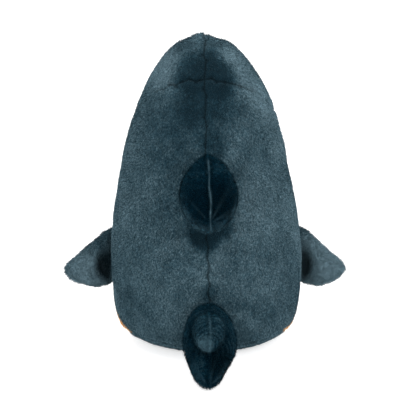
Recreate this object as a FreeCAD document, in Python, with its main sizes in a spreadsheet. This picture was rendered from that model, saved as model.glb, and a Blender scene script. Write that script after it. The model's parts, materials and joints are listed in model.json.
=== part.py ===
"""Plush shark that sits upright on its tail end, about 300 mm tall.

Frame, in millimetres: +Z up, the origin at the middle of the flat base, the belly and face look along -Y,
the dorsal fin and the tail point to +Y, and the shark's own left side is +X.

The body is a fabric skin of six sewn panels around one fibre filling. Each fin and the tail is its own sewn
cover of two halves around its own filling. It is sewn into a seam by a narrow neck, which it bends about.
"""

import FreeCAD, Part
import math
import os

from FreeCAD import Placement, Rotation, Vector

DIMENSIONS = {
    # body: half-widths follow two power curves, one above and one below the widest level
    "body_height": 300.0,
    "half_width": 94.0,
    "half_depth": 81.0,
    "widest_level": 81.0,
    "nose_power": 1.56,
    "nose_round": 2.21,
    "foot_round": 4.2,
    "foot_share": 0.43,
    "nose_lean": 14.0,
    # cloth
    "skin": 2.0,
    "fin_skin": 1.5,
    "ease": 0.3,
    "seam_gap": 0.4,
    # seams of the body
    "base_seam_level": 12.5,
    "snout_seam_level": 235.0,
    "snout_seam_tilt": 42.0,
    "belly_seam_radius": 270.0,
    "belly_seam_level": 187.0,
    "belly_seam_depth": -47.0,
    "toe_seam_level": 50.0,
    "toe_seam_tilt": 37.0,
    # root seams of the fins, as levels on the body
    "dorsal_top": 200.0,
    "dorsal_bottom": 136.0,
    "tail_level": 39.0,
    "pectoral_top": 109.0,
    "pectoral_bottom": 50.0,
    # how far each hinge line stands out from the body
    "dorsal_clear": 2.2,
    "tail_clear": 1.3,
    "pectoral_clear": 3.6,
    "pectoral_sweep": 18.0,
    # embroidery
    "thread_gap": 0.1,
    "thread": 1.0,
    "eye_height": 20.0,
    "eye_width": 15.0,
    "eye_level": 220.0,
    "eye_spread": 46.0,
    "glint": 5.0,
    "glint_side": 2.5,
    "glint_rise": 4.0,
    "gill_height": 26.0,
    "gill_width": 3.0,
    "gill_level": 166.0,
    "gill_first": -44.0,
    "gill_pitch": 11.0,
    "mouth_bend": 30.0,
    "mouth_width": 44.0,
    "mouth_level": 158.0,
    "mouth_thread": 2.4,
    # sewn-in label
    "label_width": 22.0,
    "label_drop": 15.0,
    "label_thick": 0.5,
    "label_fold": 1.1,
    "label_droop": 20.0,
    "label_spread": 50.0,
    # edge of the large blocks that part the panels, and length of the prisms that cut out the stitching
    "block": 900.0,
    "prism": 20.0,
}

# Shares of the height above and below the widest level where the body's cross sections stand.
UPPER_LEVELS = (0.0, 0.15, 0.3, 0.45, 0.6, 0.73, 0.84, 0.92, 0.965, 0.99)
LOWER_LEVELS = (1.0, 0.95, 0.85, 0.7, 0.5, 0.25)

# A fin's cross sections, each an ellipse across the way the fin stands out:
# (distance out from the hinge line, shift along the root, half chord, half thickness)
DORSAL_SECTIONS = (
    (1.2, 0.0, 29.0, 2.6),
    (5.0, 0.5, 32.0, 9.5),
    (11.0, 2.0, 34.0, 20.5),
    (20.0, 6.0, 32.5, 27.8),
    (29.0, 12.0, 26.5, 26.0),
    (37.0, 19.5, 18.6, 18.4),
    (43.0, 26.0, 10.4, 10.2),
    (46.0, 30.0, 4.2, 4.1),
)
TAIL_SECTIONS = (
    (1.5, 0.0, 23.0, 2.6),
    (6.0, 0.5, 25.0, 9.0),
    (13.0, 3.0, 28.0, 19.5),
    (22.0, 9.5, 26.5, 25.5),
    (34.0, 15.5, 21.6, 21.5),
    (47.0, 21.4, 16.1, 16.0),
    (58.0, 26.5, 11.1, 11.0),
    (66.0, 30.2, 7.2, 7.1),
    (69.5, 32.6, 3.4, 3.3),
)
TAIL_UPPER_SECTIONS = (
    (13.0, -7.0, 17.5, 15.0),
    (24.0, -9.0, 16.0, 15.8),
    (34.0, -7.5, 14.2, 14.0),
    (43.0, -4.5, 10.5, 10.3),
    (50.0, -0.8, 6.0, 5.9),
    (53.5, 1.4, 2.6, 2.5),
)
PECTORAL_SECTIONS = (
    (1.5, 2.0, 27.0, 2.6),
    (6.0, 3.8, 29.1, 5.5),
    (14.0, 6.5, 28.5, 8.5),
    (24.0, 11.3, 24.9, 9.5),
    (33.4, 17.0, 18.5, 8.8),
    (41.0, 20.6, 11.8, 6.8),
    (46.0, 22.8, 5.4, 3.6),
)

SIDES = (("left", 1), ("right", -1))
# The dorsal fin and the tail have their own Y pointing to the shark's right.
BACK_FIN_HALVES = (("left", -1), ("right", 1))

doc = FreeCAD.newDocument("plush_shark")
sheet = doc.addObject("Spreadsheet::Sheet", "Dimensions")
for row, (alias, value) in enumerate(DIMENSIONS.items(), start=1):
    sheet.set(f"A{row}", alias)
    sheet.set(f"B{row}", str(value))
    sheet.setAlias(f"B{row}", alias)
doc.recompute()

PARTS = []


def dim(alias):
    """A driving dimension's value, for the shapes that part.py works out itself."""
    return float(getattr(sheet, alias))


def cell(alias):
    return f"Dimensions.{alias}"


def bind(obj, **rules):
    """Ties properties of a document object to the sheet. A double underscore stands for a dot."""
    for path, rule in rules.items():
        obj.setExpression(path.replace("__", "."), rule)
    return obj


def keep(obj, label):
    """Marks a finished sub-part, which is written to its own file."""
    obj.Label = label
    PARTS.append(obj)
    return obj


def boolean(kind, name, base, tool):
    made = doc.addObject(f"Part::{kind}", name)
    made.Base = base
    made.Tool = tool
    return made


def cut(name, base, tool):
    return boolean("Cut", name, base, tool)


def common(name, base, tool):
    return boolean("Common", name, base, tool)


def loft(name, sections):
    made = doc.addObject("Part::Loft", name)
    made.Sections = sections
    made.Solid = True
    made.Ruled = False
    return made


# ---------------------------------------------------------------- body


def girth_share(height):
    """The body's half-width at a height, as a share of the widest."""
    widest = dim("widest_level")
    if height >= widest:
        above = (height - widest) / (dim("body_height") - widest)
        return (1 - above ** dim("nose_power")) ** (1 / dim("nose_round"))
    below = (widest - height) / widest
    power = dim("foot_round")
    return (1 - (1 - dim("foot_share") ** power) * below**power) ** (1 / power)


def lean_at(height):
    """How far the middle of the body stands forward at a height, as a Y value."""
    return -dim("nose_lean") * (height / dim("body_height")) ** 2


def surface_x(y, z):
    """X of the body's outer surface on the left side."""
    share = girth_share(z)
    across = (y - lean_at(z)) / (dim("half_depth") * share)
    return dim("half_width") * share * math.sqrt(max(0.0, 1 - across**2))


def surface_y(x, z, side):
    """Y of the body's outer surface at the back, side 1, or the front, side -1."""
    share = girth_share(z)
    across = x / (dim("half_width") * share)
    return lean_at(z) + side * dim("half_depth") * share * math.sqrt(max(0.0, 1 - across**2))


def outward(x, y, z):
    """Unit normal of the body's outer surface near a point on it."""
    share = girth_share(z)
    growth = (girth_share(z + 1) - girth_share(z - 1)) / 2
    lean_rate = (lean_at(z + 1) - lean_at(z - 1)) / 2
    wide, deep = dim("half_width") * share, dim("half_depth") * share
    off = y - lean_at(z)
    normal = Vector(
        x / wide**2,
        off / deep**2,
        -growth / share - off * lean_rate / deep**2,
    )
    return normal.normalize()


def body_solid(name, inset):
    """The body's shape, made smaller all round by inset, an expression of the sheet's cells."""
    widest, height = cell("widest_level"), cell("body_height")
    levels = [(-below, below) for below in LOWER_LEVELS] + [(above, above) for above in UPPER_LEVELS]
    sections = []
    for number, (signed, share) in enumerate(levels):
        if signed < 0:
            z = f"({widest} - {share} * ({widest} - ({inset})))"
            power = cell("foot_round")
            girth = f"(1 - (1 - {cell('foot_share')}^{power}) * {share}^{power})^(1 / {power})"
        else:
            z = f"({widest} + {share} * ({height} - 2 * ({inset}) - {widest}))"
            girth = f"(1 - {share}^{cell('nose_power')})^(1 / {cell('nose_round')})"
        ring = doc.addObject("Part::Ellipse", f"{name}_ring_{number}")
        bind(
            ring,
            MajorRadius=f"{cell('half_width')} * {girth} - ({inset})",
            MinorRadius=f"{cell('half_depth')} * {girth} - ({inset})",
            Placement__Base__y=f"-{cell('nose_lean')} * ({z} / {height})^2",
            Placement__Base__z=z,
        )
        sections.append(ring)
    tip = doc.addObject("Part::Vertex", f"{name}_tip")
    bind(tip, Y=f"-{cell('nose_lean')}", Z=f"{height} - 2 * ({inset})")
    sections.append(tip)
    return loft(name, sections)


def large_block(name, corner):
    """A cube far larger than the shark, with its lowest corner at corner."""
    block = doc.addObject("Part::Box", name)
    bind(block, Length=cell("block"), Width=cell("block"), Height=cell("block"))
    block.Placement.Base = corner
    return block


def half_space(name, point, tilt, below, gap):
    """A large block on one side of a plane through point. The plane rises to the back by tilt degrees."""
    size = dim("block")
    turn = Rotation(Vector(1, 0, 0), tilt)
    corner = Vector(-size / 2, -size / 2, -size - gap / 2 if below else gap / 2)
    block = large_block(name, corner)
    block.Placement = Placement(point + turn.multVec(corner), turn)
    return block


def side_block(name, side, gap):
    """A large block over the left half, side 1, or the right half, side -1, half the gap off the middle."""
    size = dim("block")
    left = gap / 2 if side > 0 else -size - gap / 2
    return large_block(name, Vector(left, -size / 2, -size / 2))


def belly_seam_middle():
    """Y of the axis of the drum whose front stretch is the belly seam."""
    return dim("belly_seam_depth") + dim("belly_seam_radius")


def belly_seam_y(height):
    """Y of the seam between back and belly at a height, down to the level where it leaves the drum."""
    rise = height - dim("belly_seam_level")
    return belly_seam_middle() - math.sqrt(dim("belly_seam_radius") ** 2 - rise**2)


def back_form(name, side):
    """What lies behind the belly seam, half a seam gap larger, side 1, or smaller, side -1.

    The front of a drum across the body gives the seam its curve, seen from the side. Below the side fins
    the seam leaves the drum and slopes to the back, so that the belly panel wraps round the lower corners.
    """
    drum = doc.addObject("Part::Cylinder", f"{name}_drum")
    radius = f"{cell('belly_seam_radius')} + {side} * {cell('seam_gap')} / 2"
    bind(drum, Radius=radius, Height=cell("block"))
    end = Vector(-dim("block") / 2, belly_seam_middle(), dim("belly_seam_level"))
    drum.Placement = Placement(end, Rotation(Vector(0, 1, 0), 90))
    level = dim("toe_seam_level")
    bend = Vector(0, belly_seam_y(level), level)
    slope = half_space(f"{name}_slope", bend, -dim("toe_seam_tilt"), False, -side * dim("seam_gap"))
    return common(name, drum, slope)


def body_panels():
    """The six panels of the body's skin, parted by the seams, and the filling."""
    gap = dim("seam_gap")
    shell = cut("skin", body_solid("body_outside", "0"), body_solid("body_cavity", cell("skin")))
    keep(body_solid("body_filling", f"{cell('skin')} + {cell('ease')}"), "body_stuffing")

    base_point = Vector(0, 0, dim("base_seam_level"))
    snout_point = Vector(0, 0, dim("snout_seam_level"))
    tilt = dim("snout_seam_tilt")
    keep(common("base", shell, half_space("under_base_seam", base_point, 0, True, gap)), "base_panel")

    above_base = common("above_base", shell, half_space("over_base_seam", base_point, 0, False, gap))
    snout = common("snout", above_base, half_space("over_snout_seam", snout_point, tilt, False, gap))
    trunk = common("trunk", above_base, half_space("under_snout_seam", snout_point, tilt, True, gap))
    keep(cut("belly", trunk, back_form("behind_belly", 1)), "belly_panel")
    back = common("back", trunk, back_form("inside_back", -1))
    for word, side in SIDES:
        snout_half = common(f"snout_{word}", snout, side_block(f"snout_{word}_side", side, gap))
        back_half = common(f"back_{word}", back, side_block(f"back_{word}_side", side, gap))
        keep(snout_half, f"snout_panel_{word}")
        keep(back_half, f"back_panel_{word}")


# ---------------------------------------------------------------- fins


def fin_solid(name, rows, inset):
    """A loft through a fin's sections, in the fin's own frame: Z out, X along the root, Y across."""
    sections = []
    last = len(rows) - 1
    for number, (out, shift, chord, thick) in enumerate(rows):
        ends = {0: 1, last: -1}.get(number, 0)
        ring = doc.addObject("Part::Ellipse", f"{name}_ring_{number}")
        bind(
            ring,
            MajorRadius=f"{chord} - ({inset})",
            MinorRadius=f"{thick} - ({inset})",
            Placement__Base__x=f"{shift}",
            Placement__Base__z=f"{out} + {ends} * ({inset})",
        )
        sections.append(ring)
    return loft(name, sections)


def joined(name, solids):
    if len(solids) == 1:
        return solids[0]
    made = doc.addObject("Part::MultiFuse", name)
    made.Shapes = solids
    return made


def fin(label, row_lists, placement, halves):
    """A stuffed fin: two halves of a sewn cover, parted on the fin's middle plane, and the filling.

    Halves names the half on each side of that plane: 1 is the side that the fin's own Y points to.
    """

    def whole(name, inset):
        solids = [fin_solid(f"{name}_{k}", rows, inset) for k, rows in enumerate(row_lists)]
        return joined(name, solids)

    skin = cell("fin_skin")
    cover = cut(f"{label}_cover", whole(f"{label}_outside", "0"), whole(f"{label}_cavity", skin))
    gap = dim("seam_gap")
    size = dim("block")
    for word, side in halves:
        across = gap / 2 if side > 0 else -size - gap / 2
        block = large_block(f"{label}_{word}_side", Vector(-size / 2, across, -size / 2))
        half = keep(common(f"{label}_{word}", cover, block), f"{label}_cover_{word}")
        half.Placement = placement
    filling = keep(whole(f"{label}_filling", f"{skin} + {cell('ease')} / 2"), f"{label}_stuffing")
    filling.Placement = placement


def frame_of(root, along, out):
    """A placement at root with its X along the seam and its Z out of the body."""
    z_axis = Vector(out).normalize()
    x_axis = (along - z_axis * along.dot(z_axis)).normalize()
    y_axis = z_axis.cross(x_axis)
    turn = Rotation(x_axis, y_axis, z_axis, "ZXY")
    return Placement(root, turn)


def back_root(top, bottom, clear):
    """Middle, direction towards the floor, and outward direction of a root line on the centre-back seam."""
    high = Vector(0, surface_y(0, top, 1), top)
    low = Vector(0, surface_y(0, bottom, 1), bottom)
    along = (low - high).normalize()
    out = Vector(0, -along.z, along.y)
    return (high + low) / 2 + out * clear, along, out


def dorsal_fin():
    root, along, out = back_root(dim("dorsal_top"), dim("dorsal_bottom"), dim("dorsal_clear"))
    fin("dorsal_fin", [DORSAL_SECTIONS], frame_of(root, along, out), BACK_FIN_HALVES)
    return root, along


def tail():
    root = Vector(0, surface_y(0, dim("widest_level"), 1) + dim("tail_clear"), dim("tail_level"))
    along = Vector(0, 0, -1)
    placement = frame_of(root, along, Vector(0, 1, 0))
    fin("tail", [TAIL_SECTIONS, TAIL_UPPER_SECTIONS], placement, BACK_FIN_HALVES)
    return root, along


def pectoral_fin(word, side):
    """A fin in the side seam. It stands out sideways and a little to the back, square to its root line."""
    ends = []
    for z in (dim("pectoral_top"), dim("pectoral_bottom")):
        y = belly_seam_y(z)
        ends.append(Vector(side * surface_x(y, z), y, z))
    high, low = ends
    middle = (high + low) / 2
    along = (low - high).normalize()
    root = middle + outward(middle.x, middle.y, middle.z) * dim("pectoral_clear")
    sweep = math.radians(dim("pectoral_sweep"))
    level = Vector(side * math.cos(sweep), math.sin(sweep), 0.0)
    out = level - along * level.dot(along)
    halves = (("back", side), ("front", -side))
    fin(f"pectoral_fin_{word}", [PECTORAL_SECTIONS], frame_of(root, along, out), halves)
    return root, along


# ---------------------------------------------------------------- trims


def on_skin(x, z):
    """A placement on the front of the body: Z out of the skin, Y up, X to the shark's left."""
    y = surface_y(x, z, -1)
    return skin_frame(Vector(x, y, z))


def skin_frame(point):
    normal = outward(point.x, point.y, point.z)
    across = Vector(0, 0, 1).cross(normal).normalize()
    return Placement(point, Rotation(across, normal.cross(across), normal, "ZXY"))


def thread_layer(name, low, high):
    """A skin of thread over the whole body, between two distances out from the cloth."""
    return cut(name, body_solid(f"{name}_top", f"-({high})"), body_solid(f"{name}_bed", f"-({low})"))


def upright_oval(name, width, height, placement):
    """A prism through the skin, whose section is an oval taller than it is wide."""
    ring = doc.addObject("Part::Ellipse", f"{name}_ring")
    bind(ring, MajorRadius=f"{cell(height)} / 2", MinorRadius=f"{cell(width)} / 2")
    turn = Rotation(Vector(0, 0, 1), 90)
    ring.Placement = placement.multiply(Placement(Vector(0, 0, -dim("prism") / 2), turn))
    prism = doc.addObject("Part::Extrusion", f"{name}_prism")
    prism.Base = ring
    prism.DirMode = "Custom"
    prism.Dir = placement.Rotation.multVec(Vector(0, 0, 1))
    prism.Solid = True
    bind(prism, LengthFwd=cell("prism"))
    return prism


def eyes(layer, top_layer):
    """Two satin-stitched ovals, each with a round glint stitched on top."""
    glints = []
    for word, side in SIDES:
        place = on_skin(side * dim("eye_spread"), dim("eye_level"))
        oval = upright_oval(f"eye_{word}", "eye_width", "eye_height", place)
        keep(common(f"eye_{word}_stitches", layer, oval), f"eye_{word}")
        spot = Placement(Vector(dim("glint_side"), dim("glint_rise"), 0), Rotation())
        glints.append(upright_oval(f"glint_{word}", "glint", "glint", place.multiply(spot)))
    keep(common("glint_stitches", top_layer, joined("glints", glints)), "eye_highlights")


def gill_stitches(layer, word, side):
    """Three upright satin-stitched bars on the side of the body, behind the eye."""
    bars = []
    for number in range(3):
        y = dim("gill_first") + number * dim("gill_pitch")
        z = dim("gill_level")
        place = skin_frame(Vector(side * surface_x(y, z), y, z))
        bars.append(upright_oval(f"gill_{word}_{number}", "gill_width", "gill_height", place))
    keep(common(f"gills_{word}", layer, joined(f"gill_bars_{word}", bars)), f"gill_stitches_{word}")


def mouth(layer):
    """A smile of satin stitch below the snout seam: an arc seen from the front."""
    reach = dim("half_depth") * 2
    bend = cell("mouth_bend")
    level = dim("mouth_level") + dim("mouth_bend")
    tubes = []
    for name, sign in (("mouth_outer", "+"), ("mouth_inner", "-")):
        tube = doc.addObject("Part::Cylinder", name)
        bind(tube, Radius=f"{bend} {sign} {cell('mouth_thread')} / 2", Height=f"2 * {cell('half_depth')}")
        tube.Placement = Placement(Vector(0, 0, level), Rotation(Vector(1, 0, 0), 90))
        tubes.append(tube)
    window = doc.addObject("Part::Box", "mouth_window")
    bind(window, Length=cell("mouth_width"), Width=f"2 * {cell('half_depth')}", Height=bend)
    corner = Vector(-dim("mouth_width") / 2, -reach, dim("mouth_level") - dim("mouth_thread"))
    window.Placement = Placement(corner, Rotation())
    ring = cut("mouth_ring", *tubes)
    smile = common("mouth_smile", ring, window)
    keep(common("mouth_stitches", layer, smile), "mouth_stitching")


def care_label():
    """A blank ribbon folded double, which droops out of the base seam at the front."""
    x = dim("label_spread")
    z = dim("base_seam_level") + dim("label_fold")
    y = surface_y(x, z, -1)
    normal = outward(x, y, z)
    out = Vector(normal.x, normal.y, 0).normalize()
    wide, drop = cell("label_width"), cell("label_drop")
    thick, fold = cell("label_thick"), cell("label_fold")
    outside = doc.addObject("Part::Box", "label_outside")
    bind(outside, Length=wide, Width=drop, Height=f"2 * {thick} + {fold}")
    inside = doc.addObject("Part::Box", "label_inside")
    bind(inside, Length=wide, Width=f"{drop} - {thick}", Height=fold, Placement__Base__z=thick)
    ribbon = keep(cut("label_ribbon", outside, inside), "care_label")
    turn = Rotation(out.cross(Vector(0, 0, 1)), out, Vector(0, 0, 1), "ZXY")
    droop = Rotation(Vector(1, 0, 0), -dim("label_droop"))
    middle = Placement(Vector(-dim("label_width") / 2, dim("thread"), 0), Rotation())
    ribbon.Placement = Placement(Vector(x, y, z), turn.multiply(droop)).multiply(middle)


def trims():
    bed = cell("thread_gap")
    face = f"{bed} + {cell('thread')}"
    layer = thread_layer("thread_layer", bed, face)
    glint_layer = thread_layer("glint_layer", f"{face} + {bed}", f"{face} + {bed} + {cell('thread')} / 2")
    eyes(layer, glint_layer)
    for word, side in SIDES:
        gill_stitches(layer, word, side)
    mouth(layer)
    care_label()


def check_and_write():
    """Stops at the first object that failed, then writes each sub-part to its own file."""
    doc.recompute()
    for obj in doc.Objects:
        faults = [word for word in obj.State if word in ("Invalid", "Error")]
        if faults:
            raise RuntimeError(f"{obj.Name} is {faults}")
    for obj in PARTS:
        if obj.Shape.isNull() or not obj.Shape.isValid():
            raise RuntimeError(f"{obj.Label} has no valid shape")
    os.makedirs("parts", exist_ok=True)
    for obj in PARTS:
        obj.Shape.exportStep(f"parts/{obj.Label}.step")
        print(obj.Label, "volume", round(obj.Shape.Volume), "solids", len(obj.Shape.Solids))


def main():
    body_panels()
    hinges = {"dorsal_fin": dorsal_fin(), "tail": tail()}
    for word, side in SIDES:
        hinges[f"pectoral_fin_{word}"] = pectoral_fin(word, side)
    trims()
    check_and_write()
    for name, (root, along) in hinges.items():
        print(name, "hinge at", [round(v, 2) for v in root], "along", [round(v, 4) for v in along])


main()
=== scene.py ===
import json
import math

import bmesh
import bpy
import numpy as np
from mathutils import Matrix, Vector
from mathutils.bvhtree import BVHTree
from mathutils.kdtree import KDTree


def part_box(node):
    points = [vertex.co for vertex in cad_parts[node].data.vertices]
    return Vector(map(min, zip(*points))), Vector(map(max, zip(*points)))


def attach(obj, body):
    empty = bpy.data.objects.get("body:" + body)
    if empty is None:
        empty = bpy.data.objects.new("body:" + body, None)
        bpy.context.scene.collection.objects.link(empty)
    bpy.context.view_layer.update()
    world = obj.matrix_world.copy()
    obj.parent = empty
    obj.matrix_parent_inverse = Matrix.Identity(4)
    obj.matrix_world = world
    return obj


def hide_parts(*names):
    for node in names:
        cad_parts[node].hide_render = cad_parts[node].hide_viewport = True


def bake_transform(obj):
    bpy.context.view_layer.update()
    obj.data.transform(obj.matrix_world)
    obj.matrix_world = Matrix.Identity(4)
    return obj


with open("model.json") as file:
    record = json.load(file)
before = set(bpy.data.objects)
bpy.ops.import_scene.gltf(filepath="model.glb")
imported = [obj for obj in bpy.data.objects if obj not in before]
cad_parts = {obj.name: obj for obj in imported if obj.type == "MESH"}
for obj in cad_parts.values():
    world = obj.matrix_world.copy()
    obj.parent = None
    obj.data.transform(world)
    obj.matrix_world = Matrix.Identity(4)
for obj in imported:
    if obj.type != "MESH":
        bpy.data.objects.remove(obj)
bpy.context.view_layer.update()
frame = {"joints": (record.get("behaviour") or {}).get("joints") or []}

# The looks of a plush shark that sits upright on its tail end.
#
# Everything is in metres, in the frame of the CAD: +Z up, belly and face towards -Y, back fin and tail
# towards +Y, the shark's own left towards +X. Each sewn form is made as one closed surface, swollen by a
# cloth simulation, given its seams, and then parted into the panels that it is sewn from. The pile is hair.

MM = 0.001
TAU = 2 * math.pi

# ---- sizes taken from the frame

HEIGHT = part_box("body_stuffing")[1].z + 4.6 * MM
HALF_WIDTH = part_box("belly_panel")[1].x
BACK_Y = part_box("back_panel_left")[1].y
FRONT_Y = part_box("belly_panel")[0].y
HALF_DEPTH = (BACK_Y - FRONT_Y) / 2
BASE_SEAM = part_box("base_panel")[1].z
JOINTS = {joint["name"]: joint for joint in frame["joints"]}

# The body's half-widths follow two power curves, one above and one below the widest level.
WIDEST = 81 * MM
NOSE_POWER = 1.56
NOSE_ROUND = 2.21
FOOT_ROUND = 4.2
FOOT_SHARE = 0.43
NOSE_LEAN = 14 * MM
SWAY = 1.9 * MM

# Seams of the body: a tilted plane round the snout, and between back and belly a drum across the body,
# which gives way to a slope to the back below the toe level.
SNOUT_LEVEL = 235 * MM
SNOUT_SLOPE = math.tan(math.radians(42))
DRUM_RADIUS = 270 * MM
DRUM_LEVEL = 187 * MM
DRUM_Y = 223 * MM
TOE_LEVEL = 50 * MM
TOE_SLOPE = 1 / math.tan(math.radians(37))

# The pile: fibres per square metre and their length, the radius of one, and how far it lies over.
BODY_PILE = (1.6e6, 2.0 * MM)
FIN_PILE = (1.9e6, 2.3 * MM)
FIBRE_RADIUS = 0.12 * MM
FIBRE_LIE = 0.6

# The camera: where it aims, its distance, and its angles round and above the shark.
CAMERA_TARGET = (-1.5 * MM, 0, 132 * MM)
CAMERA_REACH = 1.3
CAMERA_TURN = math.radians(1.5)
CAMERA_RISE = math.radians(14)
CAMERA_LENS = 115.2

SIDES = (("left", 1), ("right", -1))
BACK_LEFT, BACK_RIGHT, SNOUT_LEFT, SNOUT_RIGHT, BELLY, BASE = range(6)
# The body's pieces: the name, the slot of the cloth, and the CAD nodes that each one stands for.
BODY_PIECES = {
    BACK_LEFT: ("back_left_plush", "slate_plush", ["back_panel_left"]),
    BACK_RIGHT: ("back_right_plush", "slate_plush", ["back_panel_right"]),
    SNOUT_LEFT: ("snout_left_plush", "slate_plush", ["snout_panel_left"]),
    SNOUT_RIGHT: ("snout_right_plush", "slate_plush", ["snout_panel_right"]),
    BELLY: ("belly_plush", "tan_plush", ["belly_panel"]),
    BASE: ("base_plush", "slate_plush", ["base_panel", "body_stuffing"]),
}

# Which way the nap of the body lies, and which way each fin stands out from the body, by its joint.
DOWN = np.array([0.0, 0.0, -1.0])
OUTWARDS = {
    "dorsal_fin_lean": (0, 1, 0.2),
    "tail_swing": (0, 1, 0),
    "pectoral_left_flap": (0.95, 0.31, 0),
    "pectoral_right_flap": (-0.95, 0.31, 0),
}


# ---- mesh helpers


def lengths(vectors):
    return np.linalg.norm(vectors, axis=-1)


def unit(vectors):
    return vectors / lengths(vectors)[..., None]


def waves(points, size, seed, count=28):
    """Smooth noise about 0, mostly within -1 to 1, whose bumps are about size across."""
    draw = np.random.default_rng(seed)
    heading = unit(draw.normal(size=(count, 3)))
    pace = TAU / (2 * size) * draw.uniform(0.6, 1.4, count)
    phase = draw.uniform(0, TAU, count)
    return np.sin(points @ (heading * pace[:, None]).T + phase).sum(1) / math.sqrt(count) / 1.2


def smooth(low, high, value):
    """0 at low, 1 at high, and a soft step between."""
    share = np.clip((value - low) / (high - low), 0, 1)
    return share * share * (3 - 2 * share)


def bell(value, width, centre=0.0):
    """1 at the centre, and a soft fall to 0 over about two widths."""
    return np.exp(-(((value - centre) / width) ** 2))


def ball(level):
    """Directions and triangles of an even ball."""
    shape = bmesh.new()
    bmesh.ops.create_icosphere(shape, subdivisions=level, radius=1.0)
    shape.verts.ensure_lookup_table()
    points = np.array([v.co for v in shape.verts], float)
    faces = np.array([[v.index for v in f.verts] for f in shape.faces], int)
    shape.free()
    return unit(points), faces


def link(made):
    bpy.context.scene.collection.objects.link(made)
    return made


def make_object(name, points, faces, panels=None):
    mesh = bpy.data.meshes.new(name)
    mesh.from_pydata(np.asarray(points).tolist(), [], [list(map(int, f)) for f in faces])
    if panels is not None:
        mesh.polygons.foreach_set("material_index", np.asarray(panels, np.int32))
    mesh.polygons.foreach_set("use_smooth", np.ones(len(mesh.polygons), bool))
    return link(bpy.data.objects.new(name, mesh))


def read(items, key, width=3, kind=float):
    """One value or vector from each of Blender's items, as an array."""
    out = np.zeros(len(items) * width, kind)
    items.foreach_get(key, out)
    return out.reshape(-1, width) if width > 1 else out


def points_of(mesh):
    return read(mesh.vertices, "co")


def normals_of(mesh):
    return read(mesh.vertex_normals, "vector")


def set_points(mesh, points):
    mesh.vertices.foreach_set("co", np.asarray(points, np.float32).ravel())
    mesh.update()


def panels_of(mesh):
    return read(mesh.polygons, "material_index", 1, np.int32)


def modify(piece, kind, **settings):
    """Makes what a modifier shows into the piece's own mesh."""
    modifier = piece.modifiers.new(kind.lower(), kind)
    for key, value in settings.items():
        setattr(modifier, key, value)
    shown = piece.evaluated_get(bpy.context.evaluated_depsgraph_get())
    mesh = bpy.data.meshes.new_from_object(shown)
    piece.modifiers.clear()
    piece.data = mesh


def seam_points(mesh):
    """Which vertices lie between two panels."""
    corners = read(mesh.loops, "vertex_index", 1, np.int32)
    panels = np.repeat(panels_of(mesh), read(mesh.polygons, "loop_total", 1, np.int32))
    lowest = np.full(len(mesh.vertices), 99)
    highest = np.full(len(mesh.vertices), -1)
    np.minimum.at(lowest, corners, panels)
    np.maximum.at(highest, corners, panels)
    return lowest != highest


def seam_distance(mesh):
    """How far each vertex is from the nearest seam. Seam edges count by their ends and middles."""
    points = points_of(mesh)
    on_seam = seam_points(mesh)
    edges = read(mesh.edges, "vertices", 2, np.int32)
    both = edges[on_seam[edges].all(1)]
    targets = np.concatenate([points[on_seam], points[both].mean(1)])
    tree = KDTree(len(targets))
    for index, target in enumerate(targets):
        tree.insert(target, index)
    tree.balance()
    return np.array([tree.find(point)[2] for point in points])


CLOTH_STEPS = 20
CLOTH = {"quality": 6, "mass": 0.25, "tension_stiffness": 18, "compression_stiffness": 12,
         "shear_stiffness": 6, "bending_stiffness": 0.15, "use_pressure": True}


def group_of(piece, name, chosen):
    """A vertex group of the chosen vertices, by its name."""
    group = piece.vertex_groups.new(name=name)
    group.add([int(i) for i in np.nonzero(chosen)[0]], 1.0, "REPLACE")
    return name


def inflate(piece, pressure, cap, held, shrink):
    """Swells a closed form as a stuffed cloth cover. Seams draw in by shrink, held vertices stay put, and no
    vertex moves further than cap."""
    start = points_of(piece.data)
    cloth = piece.modifiers.new("cloth", "CLOTH")
    rules = cloth.settings
    for key, value in CLOTH.items():
        setattr(rules, key, value)
    rules.uniform_pressure_force = pressure
    rules.effector_weights.gravity = 0
    rules.vertex_group_mass = group_of(piece, "held", held)
    rules.vertex_group_shrink = group_of(piece, "seam", seam_points(piece.data))
    rules.shrink_min = 0.0
    rules.shrink_max = shrink
    cloth.point_cache.frame_start = 1
    cloth.point_cache.frame_end = CLOTH_STEPS
    scene = bpy.context.scene
    for step in range(1, CLOTH_STEPS + 1):
        scene.frame_set(step)
    shown = piece.evaluated_get(bpy.context.evaluated_depsgraph_get())
    moved = points_of(shown.to_mesh()) - start
    shown.to_mesh_clear()
    piece.modifiers.clear()
    piece.vertex_groups.clear()
    scene.frame_set(1)
    length = lengths(moved)
    share = np.where(length > cap, cap / np.maximum(length, 1e-9), 1.0)
    set_points(piece.data, start + moved * share[:, None])


def part_panels(whole, names):
    """Parts a finished form along its seams into one object per panel, and keeps its attributes."""
    mesh = whole.data
    points = points_of(mesh)
    panels = panels_of(mesh)
    normals = normals_of(mesh)
    extra = {name: read(mesh.attributes[name].data, "value", 1, np.float32) for name in ("seam", "ridge")}
    made = {}
    for panel, name in names.items():
        faces = [list(f.vertices) for f, own in zip(mesh.polygons, panels) if own == panel]
        used = np.unique(np.concatenate(faces))
        place = np.full(len(points), -1)
        place[used] = np.arange(len(used))
        piece = make_object(name, points[used], [[place[i] for i in f] for f in faces])
        for key, values in extra.items():
            piece.data.attributes.new(key, "FLOAT", "POINT").data.foreach_set("value", values[used])
        piece.data.normals_split_custom_set_from_vertices(normals[used].tolist())
        made[name] = piece
    bpy.data.objects.remove(whole)
    return made


def add_attribute(mesh, name, values):
    found = mesh.attributes.get(name) or mesh.attributes.new(name, "FLOAT", "POINT")
    found.data.foreach_set("value", np.asarray(values, np.float32))


# ---- body


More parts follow.
